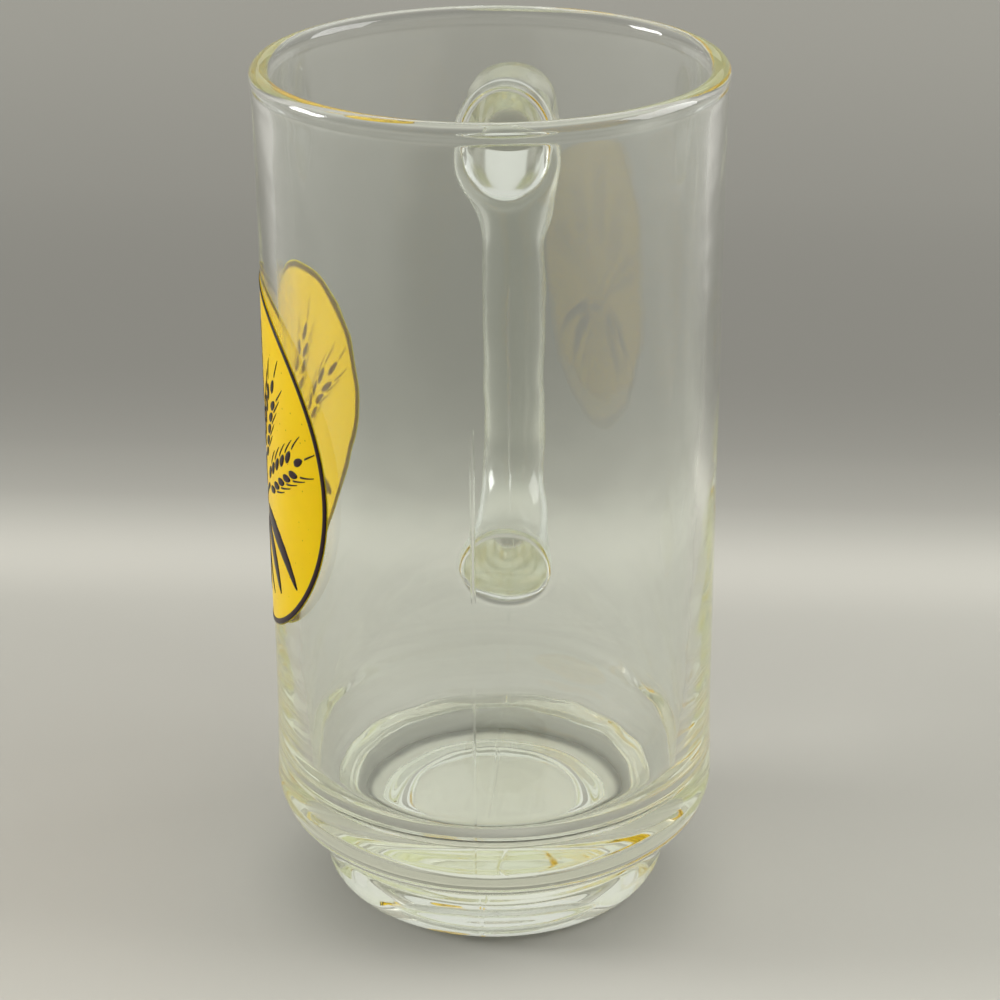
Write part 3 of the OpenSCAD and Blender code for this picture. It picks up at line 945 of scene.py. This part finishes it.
# %% The floor's material
def floor_material():
    """A dull floor with light and shade painted into its colour: the ramp along Y, with each mask's
    colour mixed over it in turn. The painted light under the foot is also a weak glow of the floor."""
    material, nodes, links, shader = new_material("sweep")
    shader.inputs["Roughness"].default_value = floor_rough
    shader.inputs["Specular IOR Level"].default_value = floor_gloss
    place = nodes.new("ShaderNodeTexCoord").outputs["Object"]
    behind = made_node(nodes, links, "SeparateXYZ", Vector=place).outputs["Y"]
    across = vector_of(nodes, links, "DOT_PRODUCT", place, (np.cos(camera_turn), np.sin(camera_turn), 0))
    from_middle = vector_of(nodes, links, "LENGTH", place)
    colour = ramp_of(nodes, links, pool, painted_pool_colour, behind)
    for distance, start, full, other in (
            (math_of(nodes, links, "ABSOLUTE", across), side_start, side_full, side_colour),
            (from_middle, contact_shadow_start, contact_shadow_full, contact_shadow_colour),
            (from_middle, painted_under_start, painted_under_full, painted_under_light)):
        mask = ranged(nodes, links, distance, start, full, 0.0, 1.0)
        colour = mixed(nodes, links, mask, colour, (*other, 1))
    links.new(colour, shader.inputs["Base Color"])
    painted_glow_colour = mixed(nodes, links, mask, (0, 0, 0, 1), (*painted_under_light, 1))
    links.new(painted_glow_colour, shader.inputs["Emission Color"])
    shader.inputs["Emission Strength"].default_value = painted_under_glow
    return material


# %% The floor's shape
flat_r, bend_up_r, floor_drop = 1.0, 0.55, 0.02 * mm


def round_sweep(spokes=96, flat_rings=20, bend_rings=24):
    """A floor that turns up into a round wall: flat to 1 m from the mug, then a quarter circle."""
    quarter = arc(flat_r, bend_up_r, bend_up_r, -90, 0, bend_rings)
    profile = np.concatenate([line((0, 0), quarter[0], flat_rings), quarter])
    profile[:, 1] -= floor_drop
    grid = turned(profile, np.radians(np.arange(spokes) * 360 / spokes))
    made = skin_object("sweep", [(grid, grid_faces(len(profile), spokes)),
                                 fan(grid[0], (0, 0, -floor_drop))])
    made.data.materials.append(floor_material())
    return made


round_sweep()

# %% [markdown]
# ## Lamps, sky and light paths
#
# An even sky lights the glass as a bright room does, and three large lamps behind and at the sides
# put soft streaks on it and light the enamel. Seen through the glass, a square lamp would turn up
# as a hard white patch in the base and in the handle's roots, so the lamps are hidden from light
# that comes through the glass.
#
# Light that enters a glass wall at a slant stays in it, mirrored from skin to skin, and comes out at
# the rim. That is where the green of a glass edge comes from. Each mirroring is a bounce, and with
# a dozen bounces the edges turn black, so many more are allowed.

# %% Lamps, sky and light paths
aimed_at = Vector((0, 0, 70 * mm))
sky_colour, sky_strength = (0.72, 0.72, 0.70, 1), 1.05
mirrorings, passes = 96, 24


def soft_lamp(name, at, size, power):
    """A square lamp at a place, turned to face the lower part of the mug."""
    data = bpy.data.lights.new(name, "AREA")
    data.size = size
    data.energy = power
    lamp = bpy.data.objects.new(name, data)
    bpy.context.scene.collection.objects.link(lamp)
    lamp.location = at
    lamp.visible_transmission = False
    lamp.rotation_euler = (Vector(at) - aimed_at).to_track_quat("Z", "Y").to_euler()


soft_lamp("behind", (0.1, 1.0, 1.1), 0.8, 1.5)
soft_lamp("left", (-1.35, 0.0, 0.44), 0.5, 16)
soft_lamp("right", (1.05, 0.10, 0.55), 0.8, 10)
world = bpy.data.worlds.new("world")
bpy.context.scene.world = world
world.use_nodes = True
sky = world.node_tree.nodes["Background"]
sky.inputs["Color"].default_value = sky_colour
sky.inputs["Strength"].default_value = sky_strength
scene = bpy.context.scene
scene.view_settings.view_transform = "Standard"
scene.cycles.max_bounces = mirrorings
scene.cycles.glossy_bounces = mirrorings
scene.cycles.transmission_bounces = passes
print("lamps:", [light.name for light in bpy.data.lights])
